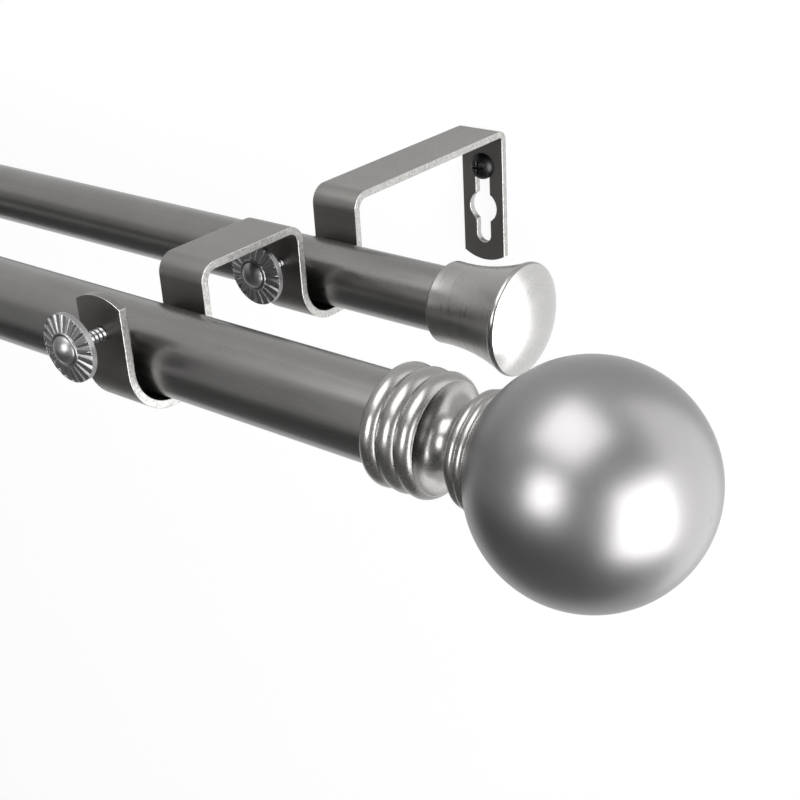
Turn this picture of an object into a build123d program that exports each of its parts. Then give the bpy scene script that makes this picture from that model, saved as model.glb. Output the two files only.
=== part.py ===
from build123d import *
from math import asin, degrees, sqrt
import os

os.makedirs("parts", exist_ok=True)

# Double curtain pole: two telescoping poles on two bent steel brackets.
# Origin: the right wall screw's axis on the wall face. +X runs along the poles to the
# right-hand finial, +Y points into the wall, +Z is up. All sizes are in mm.

# Poles
front_pole_radius = 12.7
rear_pole_radius = 10.3
tube_wall = 0.7
telescope_clearance = 0.1
pole_drop = 9.0
front_reach = 168.0
rear_reach = 96.5
bracket_span = 600.0
front_outer_length = 664.0
rear_outer_length = 632.0
front_inner_length = 640.0
rear_inner_length = 610.0

# Bent strap bracket
strap_width = 18.0
strap_thickness = 2.4
strap_end_radius = 17.0
seat_clearance = 0.2
front_hook_flat = 2.9
rear_hook_flat = 4.2
front_leg_rise = 22.3
bridge_rise = 22.1
arm_rise = 23.4
bend_inside_radius = 3.5
wall_bend_inside_radius = 1.5
plate_drop = 27.7

# Keyhole in the wall plate and the wall screw in it
keyhole_slot_width = 6.2
keyhole_round_radius = 6.0
keyhole_round_drop = 15.8
keyhole_slot_bottom = 29.8
wall_screw_radius = 2.1
wall_screw_length = 32.0
wall_screw_point = 6.0
wall_screw_head_radius = 4.95
wall_screw_head_height = 3.4
hang_clearance = 0.1
cross_recess_length = 5.0
cross_recess_width = 1.1
cross_recess_depth = 1.6

# Thumb screws: a domed screw with a fluted rosette disc under its head
thumb_screw_radius = 2.0
thumb_screw_reach = 19.0
thread_clearance = 0.08
front_thumb_rise = 11.0
rear_thumb_rise = 7.7
front_thumb_backed_off = 2.1
tip_clearance = 0.05
tip_chamfer = 0.4
dome_radius = 4.3
dome_height = 2.2
dome_edge = 0.3
disc_radius = 10.0
disc_thickness = 0.9
disc_hole_clearance = 0.05
disc_land_radius = 5.2
disc_land_height = 1.6
disc_ring_radius = 0.45
disc_rim_height = 0.6
disc_skirt = 1.1
flute_count = 20
flute_inner_radius = 0.45
flute_outer_radius = 1.45
flute_inner_depth = 0.2
flute_outer_depth = 0.55

# Ball finial on the front pole, measured outwards from the bracket's middle
collar_start = 89.4
collar_back_radius = 13.6
collar_socket_depth = 14.6
collar_length = 25.6
collar_rim_trim = 0.5
collar_neck_middle = 20.7
collar_neck_radius = 8.0
collar_groove_radius = 4.6
collar_end_radius = 13.4
rib_count = 3
rib_pitch = 5.7
rib_radius = 16.5
rib_groove_radius = 14.9
push_fit = 0.05
seat_back_radius = 13.9
seat_rim_radius = 15.8
seat_bead_count = 2
seat_bead_pitch = 2.9
seat_bead_radius = 1.5
seat_bead_sink = 0.7
ball_radius = 30.1
ball_wall = 1.2
ball_center = 147.2
ball_gap = 0.1
bush_radius = 7.0
bush_length = 15.0
bush_proud = 1.4
finial_screw_radius = 3.0
finial_screw_length = 24.0
finial_screw_head_radius = 5.5
finial_screw_head_height = 3.4
screw_hole_clearance = 0.2

# Trumpet end cap on the rear pole, measured outwards from the bracket's middle
cap_start = 53.4
cap_mouth_radius = 12.7
cap_lip = 1.2
cap_waist = 67.0
cap_waist_radius = 13.3
cap_rim = 80.4
cap_rim_radius = 17.2
cap_rim_half_width = 1.0
cap_rim_rounding = 0.4
cap_face_height = 5.2
cap_face_wall = 2.4
cap_socket_depth = 18.6
cap_hollow_radius = 8.6

# Sizes that follow from those above
pole_z = -pole_drop
front_y = -front_reach
rear_y = -rear_reach
radius_step = tube_wall + telescope_clearance
front_inner_radius = front_pole_radius - radius_step
rear_inner_radius = rear_pole_radius - radius_step
front_seat_radius = front_pole_radius + seat_clearance
rear_seat_radius = rear_pole_radius + seat_clearance
outer_bend_radius = bend_inside_radius + strap_thickness
wall_bend_radius = wall_bend_inside_radius + strap_thickness
front_leg_y = front_y - front_seat_radius - front_hook_flat
front_back_leg_y = front_y + front_seat_radius
rear_leg_y = rear_y - rear_seat_radius - rear_hook_flat
rear_back_leg_y = rear_y + rear_seat_radius
slot_radius = keyhole_slot_width / 2
slot_top_z = wall_screw_radius + hang_clearance - slot_radius
slot_bottom_z = slot_radius - keyhole_slot_bottom
front_thumb_z = pole_z + front_thumb_rise
rear_thumb_z = pole_z + rear_thumb_rise
dome_curve = (dome_radius**2 + dome_height**2) / (2 * dome_height)
dome_angle = degrees(asin(dome_radius / dome_curve))
collar_stop = collar_start + collar_socket_depth
collar_end = collar_start + collar_length
collar_rim = collar_start + rib_count * rib_pitch - collar_rim_trim
seat_rim = ball_center - sqrt((ball_radius + ball_gap) ** 2 - seat_rim_radius**2)
seat_slope = (seat_rim_radius - seat_back_radius) / (seat_rim - collar_end)
bush_start = ball_center - sqrt(ball_radius**2 - bush_radius**2) - bush_proud
cap_stop = cap_start + cap_socket_depth
cap_flare_end = cap_rim - cap_rim_half_width
cap_face_edge = cap_rim + cap_rim_half_width
cap_edge_radius = cap_rim_radius - cap_rim_rounding
cap_face_curve = (cap_edge_radius**2 + cap_face_height**2) / (2 * cap_face_height)
front_pole_end = collar_stop - push_fit
rear_pole_end = cap_stop - push_fit

# The brackets: the left one sits higher by the step in pole radius, so the thinner pole rests in it
brackets = {
    "right": (0.0, 0.0, front_pole_radius, rear_pole_radius),
    "left": (-bracket_span, radius_step, front_inner_radius, rear_inner_radius),
}
outward = {"right": 1, "left": -1}

for side, (bracket_x, lift, front_radius, rear_radius) in brackets.items():
    # One strap, bent into front leg, hook, bridge, hook, arm and wall plate
    with BuildPart() as bracket:
        with BuildSketch(Plane.YZ.offset(bracket_x - strap_width / 2)):
            with BuildLine():
                FilletPolyline(
                    (front_leg_y, pole_z + front_leg_rise + lift),
                    (front_leg_y, pole_z - front_seat_radius + lift),
                    (front_back_leg_y, pole_z - front_seat_radius + lift),
                    (front_back_leg_y, pole_z + bridge_rise + lift),
                    (rear_leg_y, pole_z + bridge_rise + lift),
                    (rear_leg_y, pole_z - rear_seat_radius + lift),
                    (rear_back_leg_y, pole_z - rear_seat_radius + lift),
                    (rear_back_leg_y, pole_z + arm_rise + lift),
                    (0, pole_z + arm_rise + lift),
                    (0, pole_z - plate_drop + lift),
                    radius=[
                        front_seat_radius,
                        front_seat_radius,
                        outer_bend_radius,
                        outer_bend_radius,
                        rear_seat_radius,
                        rear_seat_radius,
                        outer_bend_radius,
                        wall_bend_radius,
                    ],
                )
                offset(amount=strap_thickness, side=Side.RIGHT)
            make_face()
        extrude(amount=strap_width)
        # Shallow arcs on the two ends of the strap
        with BuildSketch(Plane.XZ.offset(-front_leg_y)):
            with Locations((bracket_x, pole_z + front_leg_rise + lift - strap_end_radius)):
                Rectangle(2 * strap_end_radius, strap_end_radius, align=(Align.CENTER, Align.MIN))
                Circle(strap_end_radius, mode=Mode.SUBTRACT)
        extrude(amount=strap_thickness, mode=Mode.SUBTRACT)
        with BuildSketch(Plane.XZ):
            with Locations((bracket_x, pole_z - plate_drop + lift + strap_end_radius)):
                Rectangle(2 * strap_end_radius, strap_end_radius, align=(Align.CENTER, Align.MAX))
                Circle(strap_end_radius, mode=Mode.SUBTRACT)
        extrude(amount=strap_thickness, mode=Mode.SUBTRACT)
        # Tapped holes for the thumb screws
        for leg_y, hole_z in ((front_leg_y, front_thumb_z), (rear_leg_y, rear_thumb_z)):
            with Locations(Plane(origin=(bracket_x, leg_y, hole_z + lift), z_dir=(0, 1, 0))):
                Hole(thumb_screw_radius + thread_clearance, depth=strap_thickness)
        # Double keyhole
        with BuildSketch(Plane.XZ):
            with Locations((bracket_x, (slot_top_z + slot_bottom_z) / 2 + lift)):
                SlotCenterToCenter(slot_top_z - slot_bottom_z, keyhole_slot_width, rotation=90)
            with Locations((bracket_x, lift - keyhole_round_drop)):
                Circle(keyhole_round_radius)
        extrude(amount=strap_thickness, mode=Mode.SUBTRACT)
    bracket.part.label = f"{side}_bracket"
    export_step(bracket.part, f"parts/{side}_bracket.step")

    # Pan-headed wall screw with a cross recess, at the top of the keyhole's upper slot
    with BuildPart() as wall_screw:
        screw_plane = Plane(origin=(bracket_x, -strap_thickness, lift), x_dir=(0, 1, 0), z_dir=(1, 0, 0))
        with BuildSketch(screw_plane):
            with BuildLine():
                Polyline(
                    (-wall_screw_head_height, 0),
                    (wall_screw_length, 0),
                    (wall_screw_length - wall_screw_point, wall_screw_radius),
                    (0, wall_screw_radius),
                    (0, wall_screw_head_radius),
                )
                EllipticalCenterArc(
                    (0, 0), wall_screw_head_height, wall_screw_head_radius, start_angle=90, arc_size=90
                )
            make_face()
        revolve(axis=Axis((bracket_x, 0, lift), (0, 1, 0)))
        with BuildSketch(Plane.XZ.offset(strap_thickness + wall_screw_head_height)):
            with Locations((bracket_x, lift)):
                Rectangle(cross_recess_length, cross_recess_width)
                Rectangle(cross_recess_width, cross_recess_length)
        extrude(amount=-cross_recess_depth, mode=Mode.SUBTRACT)
    wall_screw.part.label = f"{side}_wall_screw"
    export_step(wall_screw.part, f"parts/{side}_wall_screw.step")

# Thumb screw, about Z: the edge of its disc is at zero, the dome is above and the tip below
with BuildPart() as thumb_screw_shape:
    with BuildSketch(Plane.XZ):
        with BuildLine():
            Polyline(
                (0, disc_land_height + dome_edge + dome_height),
                (0, -thumb_screw_reach),
                (thumb_screw_radius - tip_chamfer, -thumb_screw_reach),
                (thumb_screw_radius, tip_chamfer - thumb_screw_reach),
                (thumb_screw_radius, disc_land_height),
                (dome_radius, disc_land_height),
                (dome_radius, disc_land_height + dome_edge),
            )
            CenterArc(
                (0, disc_land_height + dome_edge + dome_height - dome_curve),
                dome_curve,
                start_angle=90 - dome_angle,
                arc_size=dome_angle,
            )
        make_face()
    revolve(axis=Axis.Z)

# Rosette disc under the dome: a stamped cup with flutes that run out through its rim
with BuildPart() as thumb_disc_shape:
    with BuildSketch(Plane.XZ):
        with BuildLine():
            Polyline(
                (thumb_screw_radius + disc_hole_clearance, disc_land_height),
                (disc_land_radius, disc_land_height),
                (disc_radius, disc_rim_height),
                (disc_radius, -disc_skirt),
                (disc_radius - disc_thickness, -disc_skirt),
                (disc_radius - disc_thickness, disc_rim_height - disc_thickness),
                (disc_land_radius, disc_land_height - disc_thickness),
                (thumb_screw_radius + disc_hole_clearance, disc_land_height - disc_thickness),
                close=True,
            )
        make_face()
        with Locations((disc_land_radius - disc_ring_radius, disc_land_height)):
            Circle(disc_ring_radius)
    revolve(axis=Axis.Z)
    flute_base = disc_land_height + flute_inner_radius - flute_inner_depth
    flute_tip = disc_rim_height + flute_outer_radius - flute_outer_depth
    flute_run = Vector(disc_radius - disc_land_radius, 0, flute_tip - flute_base)
    with PolarLocations(0, flute_count):
        with Locations(Plane(origin=(disc_land_radius, 0, flute_base), z_dir=flute_run)):
            Cone(
                flute_inner_radius,
                flute_outer_radius,
                flute_run.length,
                align=(Align.CENTER, Align.CENTER, Align.MIN),
                mode=Mode.SUBTRACT,
            )

for side, (bracket_x, lift, front_radius, rear_radius) in brackets.items():
    for row, pole_y, radius, screw_rise, backed_off in (
        ("front", front_y, front_radius, front_thumb_rise, front_thumb_backed_off),
        ("rear", rear_y, rear_radius, rear_thumb_rise, 0),
    ):
        # The chamfered tip's lower edge meets the pole, or stands off from it where it is backed off
        edge_rise = screw_rise + lift - thumb_screw_radius
        edge_contact = sqrt(radius**2 - edge_rise**2) - tip_chamfer
        face_contact = sqrt(radius**2 - (edge_rise + tip_chamfer) ** 2)
        tip_y = pole_y - max(edge_contact, face_contact) - tip_clearance - backed_off
        thumb_plane = Plane(
            origin=(bracket_x, tip_y - thumb_screw_reach, pole_z + screw_rise + lift),
            x_dir=(1, 0, 0),
            z_dir=(0, -1, 0),
        )
        for piece, shape in (("thumb_screw", thumb_screw_shape), ("thumb_disc", thumb_disc_shape)):
            with BuildPart() as thumb_piece:
                with Locations(thumb_plane):
                    add(shape.part)
            thumb_piece.part.label = f"{side}_{row}_{piece}"
            export_step(thumb_piece.part, f"parts/{side}_{row}_{piece}.step")

# Poles: each is an outer tube from the right-hand end and an inner tube from the left-hand end
for row, pole_y, radius, pole_end, outer_length, inner_length in (
    ("front", front_y, front_pole_radius, front_pole_end, front_outer_length, front_inner_length),
    ("rear", rear_y, rear_pole_radius, rear_pole_end, rear_outer_length, rear_inner_length),
):
    with BuildPart() as outer_tube:
        with BuildSketch(Plane.YZ.offset(pole_end)):
            with Locations((pole_y, pole_z)):
                Circle(radius)
                Circle(radius - tube_wall, mode=Mode.SUBTRACT)
        extrude(amount=-outer_length)
    outer_tube.part.label = f"{row}_outer_tube"
    export_step(outer_tube.part, f"parts/{row}_outer_tube.step")

    with BuildPart() as inner_tube:
        with BuildSketch(Plane.YZ.offset(-bracket_span - pole_end)):
            with Locations((pole_y, pole_z)):
                Circle(radius - radius_step)
                Circle(radius - radius_step - tube_wall, mode=Mode.SUBTRACT)
        extrude(amount=inner_length)
    inner_tube.part.label = f"{row}_inner_tube"
    export_step(inner_tube.part, f"parts/{row}_inner_tube.step")

# End fittings: each is turned about its pole, drawn outwards from the bracket's middle
for side, (bracket_x, lift, front_radius, rear_radius) in brackets.items():
    out = outward[side]
    front_plane = Plane(origin=(bracket_x, front_y, pole_z), x_dir=(out, 0, 0), z_dir=(0, -out, 0))
    rear_plane = Plane(origin=(bracket_x, rear_y, pole_z), x_dir=(out, 0, 0), z_dir=(0, -out, 0))
    bush_plane = Plane(origin=(bracket_x + out * bush_start, front_y, pole_z), z_dir=(out, 0, 0))
    screw_head_x = bracket_x + out * (collar_stop - finial_screw_head_height)
    screw_head_plane = Plane(origin=(screw_head_x, front_y, pole_z), z_dir=(out, 0, 0))
    front_axis = Axis((0, front_y, pole_z), (out, 0, 0))
    rear_axis = Axis((0, rear_y, pole_z), (out, 0, 0))

    # Ribbed collar: a socket over the pole's end, rounded ribs and a deep round neck
    with BuildPart() as collar:
        with BuildSketch(front_plane):
            with BuildLine():
                rib_start = Vector(collar_start, collar_back_radius)
                for rib in range(rib_count):
                    rib_end_u = min(rib_start.X + rib_pitch, collar_rim)
                    rib_end = Vector(rib_end_u, rib_groove_radius)
                    ThreePointArc(rib_start, ((rib_start.X + rib_end.X) / 2, rib_radius), rib_end)
                    rib_start = rib_end
                Polyline(
                    rib_start,
                    (collar_end, collar_end_radius),
                    (collar_end, finial_screw_radius + screw_hole_clearance),
                    (collar_stop, finial_screw_radius + screw_hole_clearance),
                    (collar_stop, front_radius + push_fit),
                    (collar_start, front_radius + push_fit),
                    (collar_start, collar_back_radius),
                )
            make_face()
            with Locations((collar_start + collar_neck_middle, collar_neck_radius + collar_groove_radius)):
                Circle(collar_groove_radius, mode=Mode.SUBTRACT)
        revolve(axis=front_axis)
    collar.part.label = f"{side}_finial_collar"
    export_step(collar.part, f"parts/{side}_finial_collar.step")

    # Beaded seat: a ring between the collar's neck and the ball, with a cup that fits the ball
    with BuildPart() as seat:
        with BuildSketch(front_plane):
            with BuildLine():
                Polyline(
                    (collar_end, finial_screw_radius + screw_hole_clearance),
                    (collar_end, seat_back_radius),
                    (seat_rim, seat_rim_radius),
                    (seat_rim, bush_radius + push_fit),
                    (bush_start - push_fit, bush_radius + push_fit),
                    (bush_start - push_fit, finial_screw_radius + screw_hole_clearance),
                    close=True,
                )
            make_face()
            for bead in range(seat_bead_count):
                bead_u = seat_rim - (bead + 0.5) * seat_bead_pitch
                bead_v = seat_back_radius + (bead_u - collar_end) * seat_slope - seat_bead_sink
                with Locations((bead_u, bead_v)):
                    Circle(seat_bead_radius)
            with Locations((ball_center, 0)):
                Circle(ball_radius + ball_gap, mode=Mode.SUBTRACT)
        revolve(axis=front_axis)
    seat.part.label = f"{side}_finial_seat"
    export_step(seat.part, f"parts/{side}_finial_seat.step")

    # Hollow ball with a round hole for its bush
    with BuildPart() as ball:
        with BuildSketch(front_plane):
            with Locations((ball_center, 0)):
                Circle(ball_radius)
                Circle(ball_radius - ball_wall, mode=Mode.SUBTRACT)
                Rectangle(2 * ball_radius, ball_radius, align=(Align.CENTER, Align.MAX), mode=Mode.SUBTRACT)
                Rectangle(
                    ball_radius, bush_radius + push_fit, align=(Align.MAX, Align.MIN), mode=Mode.SUBTRACT
                )
        revolve(axis=front_axis)
    ball.part.label = f"{side}_finial_ball"
    export_step(ball.part, f"parts/{side}_finial_ball.step")

    # Threaded bush pressed into the ball
    with BuildPart() as bush:
        with BuildSketch(bush_plane):
            Circle(bush_radius)
            Circle(finial_screw_radius + thread_clearance, mode=Mode.SUBTRACT)
        extrude(amount=bush_length)
    bush.part.label = f"{side}_ball_bush"
    export_step(bush.part, f"parts/{side}_ball_bush.step")

    # Screw from the socket through the collar and the seat into the bush
    with BuildPart() as finial_screw:
        with BuildSketch(front_plane):
            with BuildLine():
                Polyline(
                    (collar_stop - finial_screw_head_height, 0),
                    (collar_stop + finial_screw_length, 0),
                    (collar_stop + finial_screw_length, finial_screw_radius - tip_chamfer),
                    (collar_stop + finial_screw_length - tip_chamfer, finial_screw_radius),
                    (collar_stop, finial_screw_radius),
                    (collar_stop, finial_screw_head_radius),
                )
                EllipticalCenterArc(
                    (collar_stop, 0),
                    finial_screw_head_height,
                    finial_screw_head_radius,
                    start_angle=90,
                    arc_size=90,
                )
            make_face()
        revolve(axis=front_axis)
        with BuildSketch(screw_head_plane):
            Rectangle(cross_recess_length, cross_recess_width)
            Rectangle(cross_recess_width, cross_recess_length)
        extrude(amount=cross_recess_depth, mode=Mode.SUBTRACT)
    finial_screw.part.label = f"{side}_finial_screw"
    export_step(finial_screw.part, f"parts/{side}_finial_screw.step")

    # Trumpet end cap: one hollow moulding with a socket, a flared wall and a convex face
    with BuildPart() as end_cap:
        with BuildSketch(rear_plane):
            with BuildLine():
                Polyline(
                    (cap_start + cap_lip, cap_mouth_radius),
                    (cap_start, cap_mouth_radius - cap_lip),
                    (cap_start, rear_radius + push_fit),
                    (cap_stop, rear_radius + push_fit),
                    (cap_stop, cap_hollow_radius),
                    (cap_face_edge - cap_face_wall, cap_hollow_radius),
                    (cap_face_edge - cap_face_wall, 0),
                    (cap_face_edge + cap_face_height, 0),
                )
                CenterArc(
                    (cap_face_edge + cap_face_height - cap_face_curve, 0),
                    cap_face_curve,
                    start_angle=0,
                    arc_size=degrees(asin(cap_edge_radius / cap_face_curve)),
                )
                ThreePointArc(
                    (cap_face_edge, cap_edge_radius),
                    (cap_rim, cap_rim_radius),
                    (cap_flare_end, cap_edge_radius),
                )
                ThreePointArc(
                    (cap_flare_end, cap_edge_radius),
                    (cap_waist, cap_waist_radius),
                    (cap_start + cap_lip, cap_mouth_radius),
                )
            make_face()
        revolve(axis=rear_axis)
    end_cap.part.label = f"{side}_end_cap"
    export_step(end_cap.part, f"parts/{side}_end_cap.step")
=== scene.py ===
import bmesh
import bpy
import math
from mathutils import Matrix, Vector


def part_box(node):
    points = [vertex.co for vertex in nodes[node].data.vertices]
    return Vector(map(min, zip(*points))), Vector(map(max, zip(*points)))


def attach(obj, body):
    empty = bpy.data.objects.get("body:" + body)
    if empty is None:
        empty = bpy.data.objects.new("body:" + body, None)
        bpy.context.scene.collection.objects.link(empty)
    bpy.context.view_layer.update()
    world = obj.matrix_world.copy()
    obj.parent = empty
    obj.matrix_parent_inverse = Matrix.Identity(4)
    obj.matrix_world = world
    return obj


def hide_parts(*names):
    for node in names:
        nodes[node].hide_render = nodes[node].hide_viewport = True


# Double curtain pole: finishes, screw threads, studio and camera. All sizes are in metres.

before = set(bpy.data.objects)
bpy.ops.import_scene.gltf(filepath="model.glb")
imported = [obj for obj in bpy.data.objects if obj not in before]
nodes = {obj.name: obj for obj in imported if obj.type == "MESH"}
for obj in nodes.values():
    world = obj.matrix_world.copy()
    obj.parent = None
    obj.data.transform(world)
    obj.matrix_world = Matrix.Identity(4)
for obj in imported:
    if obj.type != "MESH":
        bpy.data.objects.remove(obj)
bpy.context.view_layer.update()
sides = ("right", "left")
rows = ("front", "rear")


def new_material(name):
    material = bpy.data.materials.new(name)
    material.use_nodes = True
    return material, material.node_tree


def noise(tree, scale, detail, stretch=(1, 1, 1)):
    """A noise pattern that is fixed to the object, with about 1/scale metres between its spots."""
    coordinates = tree.nodes.new("ShaderNodeTexCoord")
    mapping = tree.nodes.new("ShaderNodeMapping")
    mapping.inputs["Scale"].default_value = stretch
    texture = tree.nodes.new("ShaderNodeTexNoise")
    texture.inputs["Scale"].default_value = scale
    texture.inputs["Detail"].default_value = detail
    tree.links.new(coordinates.outputs["Object"], mapping.inputs["Vector"])
    tree.links.new(mapping.outputs["Vector"], texture.inputs["Vector"])
    return texture.outputs["Fac"]


def remap(tree, value, from_low, from_high, to_low, to_high):
    node = tree.nodes.new("ShaderNodeMapRange")
    node.inputs["From Min"].default_value = from_low
    node.inputs["From Max"].default_value = from_high
    node.inputs["To Min"].default_value = to_low
    node.inputs["To Max"].default_value = to_high
    tree.links.new(value, node.inputs["Value"])
    return node.outputs["Result"]


def mix_color(tree, factor, first, second):
    node = tree.nodes.new("ShaderNodeMix")
    node.data_type = "RGBA"
    tree.links.new(factor, node.inputs["Factor"])
    for socket, value in ((node.inputs[6], first), (node.inputs[7], second)):
        if isinstance(value, bpy.types.NodeSocket):
            tree.links.new(value, socket)
        else:
            socket.default_value = (*value, 1)
    return node.outputs[2]


def add_values(tree, first, second):
    node = tree.nodes.new("ShaderNodeMath")
    node.operation = "ADD"
    tree.links.new(first, node.inputs[0])
    tree.links.new(second, node.inputs[1])
    return node.outputs[0]


# How far the rounded normal may turn from the face's before it counts as an edge
flat_normal_dot = 0.98
edge_normal_dot = 0.75
bevel_samples = 6


def edge_mask(tree, radius):
    """Near 1 on an edge and 0 on a face, with the rounded normal that makes it."""
    bevel = tree.nodes.new("ShaderNodeBevel")
    bevel.samples = bevel_samples
    bevel.inputs["Radius"].default_value = radius
    geometry = tree.nodes.new("ShaderNodeNewGeometry")
    dot = tree.nodes.new("ShaderNodeVectorMath")
    dot.operation = "DOT_PRODUCT"
    tree.links.new(bevel.outputs["Normal"], dot.inputs[0])
    tree.links.new(geometry.outputs["Normal"], dot.inputs[1])
    mask = remap(tree, dot.outputs["Value"], flat_normal_dot, edge_normal_dot, 0, 1)
    return bevel.outputs["Normal"], mask


def end_mask(tree):
    """1 on faces that look along X, such as the strap's cut edges and the caps' faces, where a
    painted reflection is laid.
    """
    coordinates = tree.nodes.new("ShaderNodeTexCoord")
    split = tree.nodes.new("ShaderNodeSeparateXYZ")
    size = tree.nodes.new("ShaderNodeMath")
    size.operation = "ABSOLUTE"
    tree.links.new(coordinates.outputs["Normal"], split.inputs["Vector"])
    tree.links.new(split.outputs["X"], size.inputs[0])
    return remap(tree, size.outputs[0], 0.62, 0.82, 0, 1)


cloud_scale = 38
speckle_scale = 1400
worn_gloss_share = 0.3
bump_strength = 0.5


def metal(name, dark, light, worn_and_highlit_edge, roughness, spread, grain_scale, grain_height,
          stretch=(1, 1, 1), edge=0.0004, painted_reflection_tones=None):
    """Plated metal: cloudy tone, fine grain in gloss and height, and edges painted brighter, partly
    plating worn off and partly a painted highlight.
    Faces that look along X take two tones given for them, a darker and a lighter one, in speckles:
    a painted reflection, lighter than the rest."""
    material, tree = new_material(name)
    shader = tree.nodes["Principled BSDF"]
    shader.inputs["Metallic"].default_value = 1
    clouds = noise(tree, cloud_scale, 3)
    grain = noise(tree, grain_scale, 2, stretch)
    rounded, edges = edge_mask(tree, edge)

    tone = mix_color(tree, remap(tree, clouds, 0.3, 0.7, 0, 1), dark, light)
    # Painted reflection: faces that look along X are painted lighter, for the lamp at the right
    # reflected in them.
    if painted_reflection_tones:
        speckle = remap(tree, noise(tree, speckle_scale, 4), 0.35, 0.65, 0, 1)
        tone = mix_color(tree, end_mask(tree), tone, mix_color(tree, speckle, *painted_reflection_tones))
    # Edges take the brighter edge colour: partly worn plating, partly a painted highlight where
    # edges catch the light.
    tree.links.new(mix_color(tree, edges, tone, worn_and_highlit_edge), shader.inputs["Base Color"])

    gloss = remap(tree, grain, 0.3, 0.7, roughness - spread, roughness + spread)
    worn_gloss = remap(tree, edges, 0, 1, 0, -worn_gloss_share * roughness)
    tree.links.new(add_values(tree, gloss, worn_gloss), shader.inputs["Roughness"])

    bump = tree.nodes.new("ShaderNodeBump")
    bump.inputs["Distance"].default_value = grain_height
    bump.inputs["Strength"].default_value = bump_strength
    tree.links.new(grain, bump.inputs["Height"])
    tree.links.new(rounded, bump.inputs["Normal"])
    tree.links.new(bump.outputs["Normal"], shader.inputs["Normal"])
    return material


# Each finish: darker and lighter cloud tones, then the edge colour, which is partly wear and partly
# a painted highlight.
tube_finish = metal(
    "tube_satin_nickel", (0.175, 0.171, 0.168), (0.200, 0.196, 0.192), (0.42, 0.41, 0.40),
    roughness=0.29, spread=0.03, grain_scale=420, grain_height=0.000006,
    stretch=(0.04, 1, 1), edge=0.0001,
)
strap_finish = metal(
    "strap_satin_nickel", (0.175, 0.170, 0.163), (0.205, 0.199, 0.190), (0.62, 0.61, 0.59),
    roughness=0.36, spread=0.05, grain_scale=1500, grain_height=0.00002,
    # Lighter tones for the cut edges: a painted reflection of the lamp at the right.
    painted_reflection_tones=((0.42, 0.415, 0.40), (0.66, 0.655, 0.64)),
)
ball_finish = metal(
    "ball_satin_nickel", (0.200, 0.196, 0.198), (0.220, 0.216, 0.218), (0.3, 0.3, 0.3),
    roughness=0.37, spread=0.03, grain_scale=2600, grain_height=0.00002,
    edge=0.0001,
)
bright_finish = metal(
    "bright_nickel", (0.240, 0.235, 0.228), (0.280, 0.274, 0.266), (0.55, 0.54, 0.53),
    roughness=0.29, spread=0.03, grain_scale=1600, grain_height=0.000004,
    edge=0.00015,
)
cap_finish = metal(
    "cap_brushed_nickel", (0.250, 0.245, 0.237), (0.290, 0.284, 0.276), (0.55, 0.54, 0.53),
    roughness=0.29, spread=0.05, grain_scale=700, grain_height=0.00001,
    # Lighter tones for the cap's end face: a painted reflection of the lamp at the right.
    stretch=(1, 0.08, 0.08), edge=0.0002, painted_reflection_tones=((0.50, 0.495, 0.485), (0.56, 0.555, 0.545)),
)
thumb_finish = metal(
    "thumb_screw_nickel", (0.220, 0.215, 0.220), (0.300, 0.294, 0.298), (0.6, 0.6, 0.6),
    roughness=0.36, spread=0.05, grain_scale=1800, grain_height=0.00001,
    edge=0.00012,
)
# Painted shade: the wall screws are painted near black, for the shade that falls on them under the
# arm.
shade_black_screw_finish = metal(
    "screw_black_painted_shade", (0.022, 0.022, 0.023), (0.04, 0.04, 0.04), (0.12, 0.12, 0.12),
    roughness=0.38, spread=0.06, grain_scale=1800, grain_height=0.00002,
    edge=0.0003,
)
brass_finish = metal(
    "turned_brass", (0.52, 0.38, 0.16), (0.6, 0.45, 0.2), (0.75, 0.6, 0.3),
    roughness=0.3, spread=0.05, grain_scale=900, grain_height=0.00001,
    edge=0.0003,
)
zinc_finish = metal(
    "zinc_plated_steel", (0.4, 0.41, 0.42), (0.48, 0.49, 0.5), (0.7, 0.7, 0.7),
    roughness=0.3, spread=0.06, grain_scale=1200, grain_height=0.00001,
    edge=0.0003,
)

finish_by_ending = {
    "_tube": tube_finish,
    "_bracket": strap_finish,
    "_finial_ball": ball_finish,
    "_finial_collar": bright_finish,
    "_finial_seat": bright_finish,
    "_end_cap": cap_finish,
    "_thumb_screw": thumb_finish,
    "_thumb_disc": thumb_finish,
    "_wall_screw": shade_black_screw_finish,
    "_ball_bush": brass_finish,
    "_finial_screw": zinc_finish,
}
for name, node in nodes.items():
    for ending, finish in finish_by_ending.items():
        if name.endswith(ending):
            node.data.materials.clear()
            node.data.materials.append(finish)

# Screw threads, from the sizes of the screws in the CAD model
shank_radius = 0.002
thread_depth = 0.00045
thread_pitch = 0.0014
dome_height = 0.0022
dome_radius = 0.0043
dome_edge = 0.0003
dome_seat_gap = 0.00002
tip_chamfer = 0.0004
plain_neck = 0.0009
around = 24
dome_rings = 12
rings_in_turn = 8
fade_in_rings = 16


def new_piece(name, mesh, material, body):
    mesh.materials.append(material)
    for polygon in mesh.polygons:
        polygon.use_smooth = True
    piece = bpy.data.objects.new(name, mesh)
    bpy.context.collection.objects.link(piece)
    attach(piece, body)
    return piece


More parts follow.
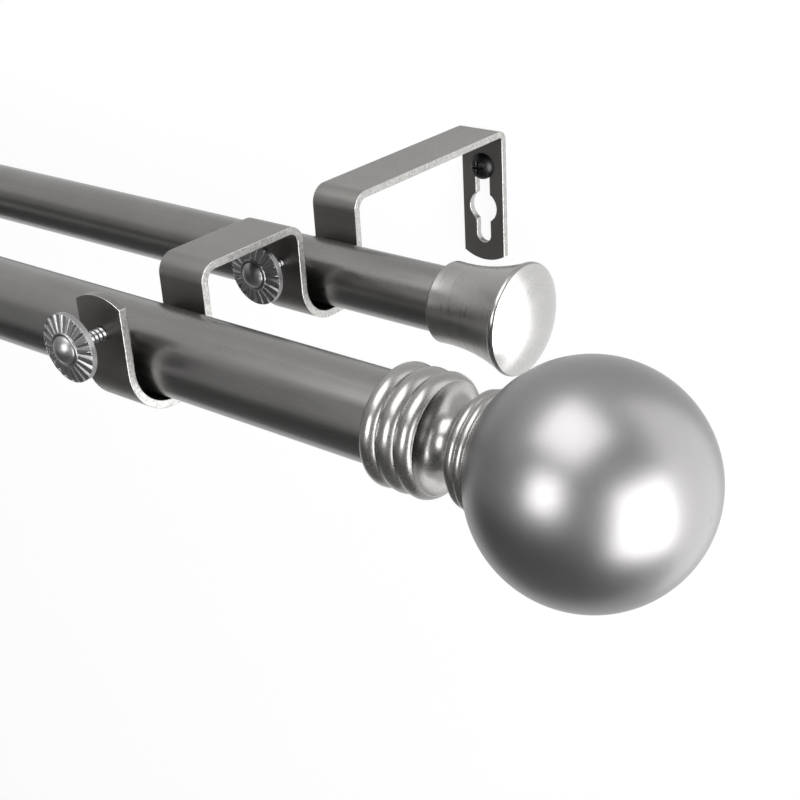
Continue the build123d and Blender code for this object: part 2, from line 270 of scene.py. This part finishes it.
def lathe(name, center, rings):
    """A closed mesh about Y: each ring is a height along Y and a function from angle to radius."""
    mesh_builder = bmesh.new()
    loops = []
    for height, radius_at in rings:
        loop = []
        for step in range(around):
            angle = 2 * math.pi * step / around
            x = center.x + radius_at(angle) * math.cos(angle)
            z = center.z + radius_at(angle) * math.sin(angle)
            loop.append(mesh_builder.verts.new((x, height, z)))
        loops.append(loop)
    for first, second in zip(loops, loops[1:]):
        for step in range(around):
            following = (step + 1) % around
            mesh_builder.faces.new((first[step], first[following], second[following], second[step]))
    mesh_builder.faces.new(loops[0])
    mesh_builder.faces.new(loops[-1])
    bmesh.ops.recalc_face_normals(mesh_builder, faces=mesh_builder.faces)
    mesh = bpy.data.meshes.new(name)
    mesh_builder.to_mesh(mesh)
    mesh_builder.free()
    return mesh


def plain(radius):
    return lambda angle: radius


def threaded(height, depth):
    """The radius of a vee thread at a height, from crest to root and back in each turn."""
    def radius_at(angle):
        turn = (height / thread_pitch + angle / (2 * math.pi)) % 1
        return shank_radius - depth * (1 - abs(2 * turn - 1))
    return radius_at


for side in sides:
    for row in rows:
        node = f"{side}_{row}_thumb_screw"
        low, high = (Vector(corner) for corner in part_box(node))
        center = (low + high) / 2
        dome_curve = (dome_radius**2 + dome_height**2) / (2 * dome_height)
        dome_span = math.asin(dome_radius / dome_curve)
        rings = []
        for step in range(1, dome_rings + 1):
            slope = dome_span * step / dome_rings
            height = low.y + dome_curve * (1 - math.cos(slope))
            rings.append((height, plain(dome_curve * math.sin(slope))))
        land = low.y + dome_height + dome_edge - dome_seat_gap
        rings.append((land, plain(dome_radius)))
        rings.append((land, plain(shank_radius)))
        thread_start, thread_end = land + plain_neck, high.y - tip_chamfer
        rings.append((thread_start, plain(shank_radius)))
        thread_steps = round((thread_end - thread_start) / thread_pitch * rings_in_turn)
        for step in range(1, thread_steps + 1):
            height = thread_start + (thread_end - thread_start) * step / thread_steps
            rings.append((height, threaded(height, thread_depth * min(1, step / fade_in_rings))))
        rings.append((high.y, plain(shank_radius - tip_chamfer)))
        piece = new_piece(
            f"{node}_threaded", lathe(f"{node}_threaded", center, rings), thumb_finish,
            f"{side}_{row}_screw_body",
        )
        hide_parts(node)

# Coarse threads on the wall screws: a sharp ridge wound round each shank, up to its point
wall_thread_pitch = 0.0018
wall_thread_start = 0.004
wall_thread_end = 0.0305
wall_shank_radius = 0.0021
wall_point_start = 0.026
wall_point_length = 0.006
ridge_height = 0.0005
ridge_half_width = 0.0004
ridge_sink = 0.0001
ridge_fade_parts = 12
least_reach = 0.00005
for side in sides:
    low, high = (Vector(corner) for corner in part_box(f"{side}_wall_screw"))
    center = (low + high) / 2
    mesh_builder = bmesh.new()
    loops = []
    steps = round((wall_thread_end - wall_thread_start) / wall_thread_pitch * around)
    for step in range(steps + 1):
        share = step / steps
        height = wall_thread_start + (wall_thread_end - wall_thread_start) * share
        to_tip = wall_point_start + wall_point_length - height
        taper = min(1, max(0, to_tip / wall_point_length))
        root = wall_shank_radius * taper - ridge_sink
        fade = min(1, share * ridge_fade_parts, (1 - share) * ridge_fade_parts)
        crest = root + ridge_sink + ridge_height * fade
        angle = 2 * math.pi * step / around
        direction = Vector((math.cos(angle), 0, math.sin(angle)))
        corners = (
            (height - ridge_half_width, root), (height, crest), (height + ridge_half_width, root)
        )
        loops.append([
            mesh_builder.verts.new(
                Vector((center.x, along, center.z)) + direction * max(reach, least_reach)
            )
            for along, reach in corners
        ])
    for first, second in zip(loops, loops[1:]):
        for corner in range(3):
            following = (corner + 1) % 3
            mesh_builder.faces.new(
                (first[corner], first[following], second[following], second[corner])
            )
    mesh_builder.faces.new(loops[0])
    mesh_builder.faces.new(loops[-1])
    bmesh.ops.recalc_face_normals(mesh_builder, faces=mesh_builder.faces)
    mesh = bpy.data.meshes.new(f"{side}_wall_screw_thread")
    mesh_builder.to_mesh(mesh)
    mesh_builder.free()
    new_piece(f"{side}_wall_screw_thread", mesh, shade_black_screw_finish, "mounted")

# Wall and floor: the pole hangs on a pale wall, at its usual height over a pale floor
wall_left, wall_right, wall_top = -6.0, 6.0, 2.5
wall_gap = 0.0002
floor_height, floor_reach = -2.6, 40.0
wall_white_share = 0.92
backdrop_brightness = 0.42
sky_brightness = 1.15 * backdrop_brightness
world_light = 0.13
# Middle of the floor's painted light falloff, where the floor stays dim
floor_falloff_middle = (-2.3, -2.3, floor_height)
fade_start, fade_end = 3.4, 7.5

wall_paint, wall_tree = new_material("wall_paint")
wall_shader = wall_tree.nodes["Principled BSDF"]
wall_shader.inputs["Roughness"].default_value = 0.9
wall_shader.inputs["Specular IOR Level"].default_value = 0.1
paint = remap(wall_tree, noise(wall_tree, 6, 2), 0.3, 0.7, 0, 1)
wall_tree.links.new(
    mix_color(wall_tree, paint, (0.86, 0.86, 0.86), (0.88, 0.88, 0.88)),
    wall_shader.inputs["Base Color"],
)
floor_paint = wall_paint.copy()
floor_paint.name = "floor_paint"


def seen_by_rays(tree, low, high):
    """High for the rays of the camera, metal and glass, and low for those that light the object."""
    path = tree.nodes.new("ShaderNodeLightPath")
    seen = add_values(tree, path.outputs["Is Camera Ray"], path.outputs["Is Glossy Ray"])
    seen = add_values(tree, seen, path.outputs["Is Transmission Ray"])
    return remap(tree, seen, 0, 1, low, high)


def white_over(tree, surface, share):
    """The surface with a share of plain white over it, so that its shadows stay."""
    white = tree.nodes.new("ShaderNodeEmission")
    mix = tree.nodes.new("ShaderNodeMixShader")
    tree.links.new(share, mix.inputs["Fac"])
    tree.links.new(surface, mix.inputs[1])
    tree.links.new(white.outputs["Emission"], mix.inputs[2])
    return mix.outputs["Shader"]


# Seen from behind, the wall is left open, so that the object's back shows
backface = wall_tree.nodes.new("ShaderNodeNewGeometry")
opening = wall_tree.nodes.new("ShaderNodeBsdfTransparent")
choice = wall_tree.nodes.new("ShaderNodeMixShader")
wall_tree.links.new(backface.outputs["Backfacing"], choice.inputs["Fac"])
wall_white = white_over(
    wall_tree, wall_shader.outputs["BSDF"], seen_by_rays(wall_tree, 0, wall_white_share)
)
wall_tree.links.new(wall_white, choice.inputs[1])
wall_tree.links.new(opening.outputs["BSDF"], choice.inputs[2])
wall_tree.links.new(choice.outputs["Shader"], wall_tree.nodes["Material Output"].inputs["Surface"])

# Painted light: the floor glows white for the camera and metal, more the farther it is from its
# middle, so it stays dim below the object and runs far off into the pale backdrop all round.
floor_tree = floor_paint.node_tree
place = floor_tree.nodes.new("ShaderNodeTexCoord")
distance = floor_tree.nodes.new("ShaderNodeVectorMath")
distance.operation = "DISTANCE"
distance.inputs[1].default_value = floor_falloff_middle
floor_tree.links.new(place.outputs["Object"], distance.inputs[0])
fade = floor_tree.nodes.new("ShaderNodeMath")
fade.operation = "MULTIPLY"
floor_tree.links.new(
    remap(floor_tree, distance.outputs["Value"], fade_start, fade_end, 0, backdrop_brightness),
    fade.inputs[0],
)
floor_tree.links.new(seen_by_rays(floor_tree, 0, 1), fade.inputs[1])
floor_tree.links.new(
    white_over(floor_tree, floor_tree.nodes["Principled BSDF"].outputs["BSDF"], fade.outputs[0]),
    floor_tree.nodes["Material Output"].inputs["Surface"],
)


def stage_sheet(name, corners, material):
    mesh = bpy.data.meshes.new(name)
    mesh.from_pydata(corners, [], [(0, 1, 2, 3)])
    mesh.materials.append(material)
    sheet = bpy.data.objects.new(name, mesh)
    bpy.context.collection.objects.link(sheet)


stage_sheet("wall", (
    (wall_left, wall_gap, floor_height),
    (wall_right, wall_gap, floor_height),
    (wall_right, wall_gap, wall_top),
    (wall_left, wall_gap, wall_top),
), wall_paint)
stage_sheet("floor", (
    (-floor_reach, -floor_reach, floor_height),
    (floor_reach, -floor_reach, floor_height),
    (floor_reach, floor_reach, floor_height),
    (-floor_reach, floor_reach, floor_height),
), floor_paint)


def soft_light(name, place, target, width, height, radiance):
    """A soft box at place that faces target. Its power gives the radiance at any size."""
    light = bpy.data.lights.new(name, "AREA")
    light.shape = "RECTANGLE"
    light.size = width
    light.size_y = height
    light.energy = radiance * math.pi * width * height
    lamp = bpy.data.objects.new(name, light)
    lamp.location = place
    lamp.rotation_euler = (Vector(target) - Vector(place)).to_track_quat("-Z", "Y").to_euler()
    lamp.visible_camera = False
    bpy.context.collection.objects.link(lamp)


ball_center = Vector((0.147, -0.168, -0.009))
boxes_by_name = {
    # name: (direction from the ball's centre, distance, width, height, radiance)
    "overhead_box": ((-0.11, -0.345, 0.932), 0.9, 0.85, 0.75, 4.8),
    "front_box": ((-0.165, -0.958, 0.234), 0.9, 0.42, 0.46, 9.0),
    "right_box": ((0.95, -0.22, -0.12), 0.75, 0.75, 0.85, 7.5),
}
for name, (direction, far, width, height, radiance) in boxes_by_name.items():
    soft_light(name, ball_center + far * Vector(direction), ball_center, width, height, radiance)
soft_light("overhead_strip", (-0.9, -0.4, 0.9), (-0.5, -0.1, 0), 0.9, 1.6, 0.5)
# A dim panel on the wall beside the finial, for the pale right side of the ball
soft_light("wall_box", (0.43, -0.012, 0.03), (0.43, -1, 0.03), 0.44, 0.8, 1.5)

world = bpy.data.worlds.new("studio")
world.use_nodes = True
world.node_tree.nodes["Background"].inputs["Color"].default_value = (1, 1, 1, 1)
world.node_tree.links.new(
    seen_by_rays(world.node_tree, world_light, sky_brightness),
    world.node_tree.nodes["Background"].inputs["Strength"],
)
bpy.context.scene.world = world

# Camera, fitted to the edges of the poles, the strap and the ball in the photograph
image_width, focal_length_in_pixels, sensor_width = 800, 1403.34, 36
camera_place = (0.293355, -0.411618, 0.154882)
azimuth, elevation, roll = (math.radians(a) for a in (39.673, 26.398, -3.375))
back = Vector((
    math.sin(azimuth) * math.cos(elevation),
    -math.cos(azimuth) * math.cos(elevation),
    math.sin(elevation),
))
right = back.cross(Vector((0, 0, -1))).normalized()
up = back.cross(right)
camera_x = right * math.cos(roll) + up * math.sin(roll)
camera_y = up * math.cos(roll) - right * math.sin(roll)
camera = bpy.data.objects.new("camera", bpy.data.cameras.new("camera"))
camera.data.sensor_width = sensor_width
camera.data.lens = sensor_width * focal_length_in_pixels / image_width
camera.data.clip_start = 0.01
camera.matrix_world = Matrix.Translation(camera_place) @ Matrix(
    (camera_x, camera_y, back)
).transposed().to_4x4()
bpy.context.collection.objects.link(camera)
bpy.context.scene.camera = camera
bpy.context.scene.view_settings.view_transform = "Standard"
